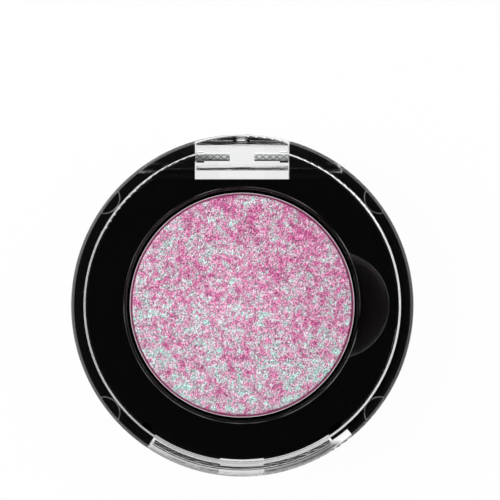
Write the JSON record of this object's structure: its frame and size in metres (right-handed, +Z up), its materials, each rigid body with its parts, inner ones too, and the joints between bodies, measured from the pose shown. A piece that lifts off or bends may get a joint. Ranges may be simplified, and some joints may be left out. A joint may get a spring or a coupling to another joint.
{
  "type": "pressed powder compact",
  "caption": "Small round eyeshadow compact with a glitter powder pan in a black base and a clear hinged snap lid.",
  "frame": {"origin": "centre of the face that the closed compact rests on", "axes": "+Z up through the lid, -Y to the front flap and latch, +Y to the hinge, +X to the finger scoop"},
  "size_m": [0.0556, 0.0556, 0.013],
  "materials": {
    "base_black": "polished black ABS",
    "frame_black": "polished black ABS",
    "pan_metal": "bright drawn sheet",
    "powder": "pressed powder full of pink and green glitter",
    "glue": "dull dried glue",
    "label": "smooth white coated paper",
    "lid_clear": "clear polished AS",
    "pin_steel": "bright steel, knurled inside the knuckle"
  },
  "bodies": {
    "base": {"base_shell": "base_black", "inner_frame": "frame_black", "pan": "pan_metal", "pressed_powder": "powder", "pan_glue": "glue", "bottom_label": "label"},
    "lid": {"lid": "lid_clear", "hinge_pin_left": "pin_steel", "hinge_pin_right": "pin_steel"}
  },
  "joints": [
    {"name": "lid_hinge", "type": "hinge", "parent": "base", "child": "lid", "pos_m": [0, 0.02407, 0.0055], "axis": [-1, 0, 0], "range_deg": [0, 105]}
  ]
}
